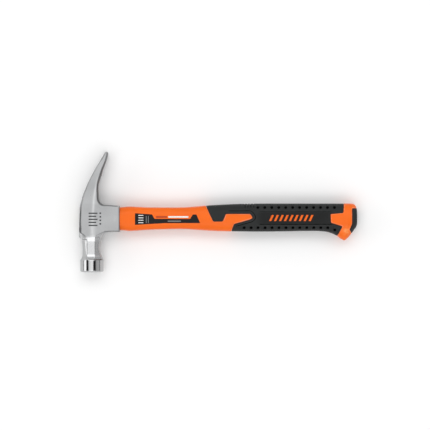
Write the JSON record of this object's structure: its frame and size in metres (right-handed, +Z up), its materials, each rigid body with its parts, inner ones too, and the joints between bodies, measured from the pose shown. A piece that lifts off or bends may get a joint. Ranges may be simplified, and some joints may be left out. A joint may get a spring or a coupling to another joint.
{
  "type": "claw hammer",
  "caption": "Claw hammer with a forged steel head, round striking face, split nail-pulling claw, and a moulded handle with a rubber grip.",
  "frame": {"origin": "centre of the bounding box at its base: the hammer lies on its side on the plane z = 0", "axes": "+X along the handle from the head to the butt, +Y along the head from the striking face to the claw, +Z up through the hammer's thickness"},
  "size_m": [0.3306, 0.1438, 0.0279],
  "materials": {
    "head_steel": "polished forging",
    "epoxy": "cast resin",
    "seal_rubber": "matt",
    "fibreglass": "sawn glass-fibre rod",
    "orange_jacket": "satin moulding",
    "black_grip": "matt, textured bands",
    "black_bumper": "matt",
    "label_film": "printed film",
    "orange_print": "printed film"
  },
  "bodies": {
    "root": {"head": "head_steel", "eye_epoxy": "epoxy", "eye_seal": "seal_rubber", "fibreglass_core": "fibreglass", "handle_jacket": "orange_jacket", "grip_overmold": "black_grip", "butt_bumper": "black_bumper", "neck_label_front": "label_film", "neck_label_back": "label_film", "grip_mark_front": "orange_print", "grip_mark_back": "orange_print"}
  },
  "joints": []
}
